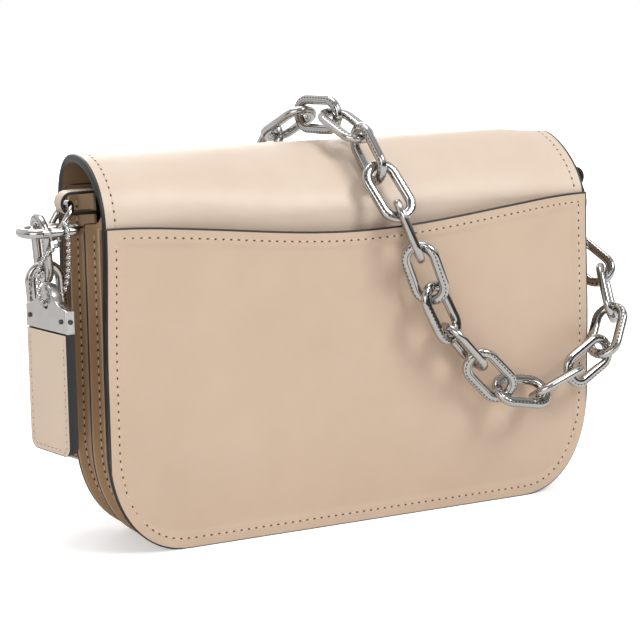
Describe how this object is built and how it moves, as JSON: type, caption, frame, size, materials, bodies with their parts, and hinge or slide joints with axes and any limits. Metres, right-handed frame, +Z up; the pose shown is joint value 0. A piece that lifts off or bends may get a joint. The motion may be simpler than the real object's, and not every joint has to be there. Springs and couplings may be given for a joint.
{
  "type": "chain shoulder bag",
  "caption": "Compact leather shoulder bag with two gusseted compartments, a rounded flap, a back slip pocket, a heavy chain strap on end rings and a hanging leather tag",
  "frame": {"origin": "Bottom of the bag, in the middle of its width, under the divider between the two compartments", "axes": "+X along the bag's width towards the end with the hang tag, +Y towards the back with the slip pocket, +Z up"},
  "size_m": [0.315, 0.1139, 0.2042],
  "materials": {
    "leather_back": "smooth, satin",
    "leather_pocket": "smooth, satin",
    "leather_flap": "smooth, satin",
    "leather_front": "smooth, satin",
    "leather_gusset": "smooth, satin",
    "lining": "fine, matt",
    "leather_tag": "smooth, satin",
    "metal": "polished silver tone",
    "magnet": "satin",
    "zip_tape": "woven",
    "zip_metal": "polished silver tone"
  },
  "bodies": {
    "bag": {"back_panel": "leather_back", "back_pocket": "leather_pocket", "rear_gusset": "leather_gusset", "divider": "leather_gusset", "front_gusset": "leather_gusset", "front_panel": "leather_front", "magnet_lower": "magnet", "zip_tape": "zip_tape", "zip_teeth": "zip_metal", "loop_left": "leather_back", "loop_right": "leather_back", "connector_left": "metal", "connector_right": "metal", "ring_left": "metal", "ring_right": "metal", "gate_pin_left": "metal", "gate_pin_right": "metal"},
    "flap": {"flap_shell": "leather_flap", "flap_lining": "lining", "magnet_upper": "magnet", "front_link_1": "metal", "front_link_2": "metal", "front_link_3": "metal", "front_link_4": "metal", "front_link_5": "metal", "front_link_6": "metal", "front_link_7": "metal", "front_link_8": "metal", "front_link_9": "metal", "front_link_10": "metal", "front_link_11": "metal", "front_link_12": "metal", "front_link_13": "metal", "front_link_14": "metal", "front_link_15": "metal", "front_link_16": "metal"},
    "side_chain": {"side_link_1": "metal", "side_link_2": "metal", "side_link_3": "metal"},
    "back_chain": {"back_link_1": "metal", "back_link_2": "metal", "back_link_3": "metal", "back_link_4": "metal", "back_link_5": "metal", "back_link_6": "metal", "back_link_7": "metal", "back_link_8": "metal", "back_link_9": "metal", "back_link_10": "metal", "back_link_11": "metal", "back_link_12": "metal"},
    "gate_left": {"gate_left": "metal"},
    "gate_right": {"gate_right": "metal"},
    "tag": {"tag_leather": "leather_tag", "tag_cap": "metal", "tag_rivets": "metal", "ball_chain": "metal"},
    "zip": {"zip_slider": "zip_metal", "zip_pull": "zip_metal"}
  },
  "joints": [
    {"name": "flap_hinge", "type": "hinge", "parent": "bag", "child": "flap", "pos_m": [-0.0081, 0.02115, 0.1723], "axis": [-1, 0, 0], "range_deg": [0, 62]},
    {"name": "side_chain_swing", "type": "hinge", "parent": "bag", "child": "side_chain", "pos_m": [0.14995, -0.0044, 0.151], "axis": [-1, 0, 0], "range_deg": [0, 95]},
    {"name": "back_chain_swing", "type": "hinge", "parent": "bag", "child": "back_chain", "pos_m": [-0.0081, 0.02115, 0.1723], "axis": [0.9113, 0.1669, 0.3764], "range_deg": [0, 12]},
    {"name": "gate_left_hinge", "type": "hinge", "parent": "bag", "child": "gate_left", "pos_m": [0.1529, 0.0114, 0.151], "axis": [0, 0, 1], "range_deg": [0, 25], "stiffness_Nm_per_rad": 0.05},
    {"name": "gate_right_hinge", "type": "hinge", "parent": "bag", "child": "gate_right", "pos_m": [-0.13349, 0.00153, 0.12583], "axis": [0.5736, -0.8192, 0], "range_deg": [0, 25], "stiffness_Nm_per_rad": 0.05},
    {"name": "tag_swing", "type": "hinge", "parent": "bag", "child": "tag", "pos_m": [0.1436, 0.0114, 0.151], "axis": [1, 0, 0], "range_deg": [0, 20]},
    {"name": "zip_slide", "type": "slide", "parent": "bag", "child": "zip", "axis": [1, 0, 0], "range_m": [0, 0.14]}
  ],
  "couplings": [
    {"joint": "side_chain_swing", "follows": "flap_hinge", "ratio": 1.5058}
  ]
}
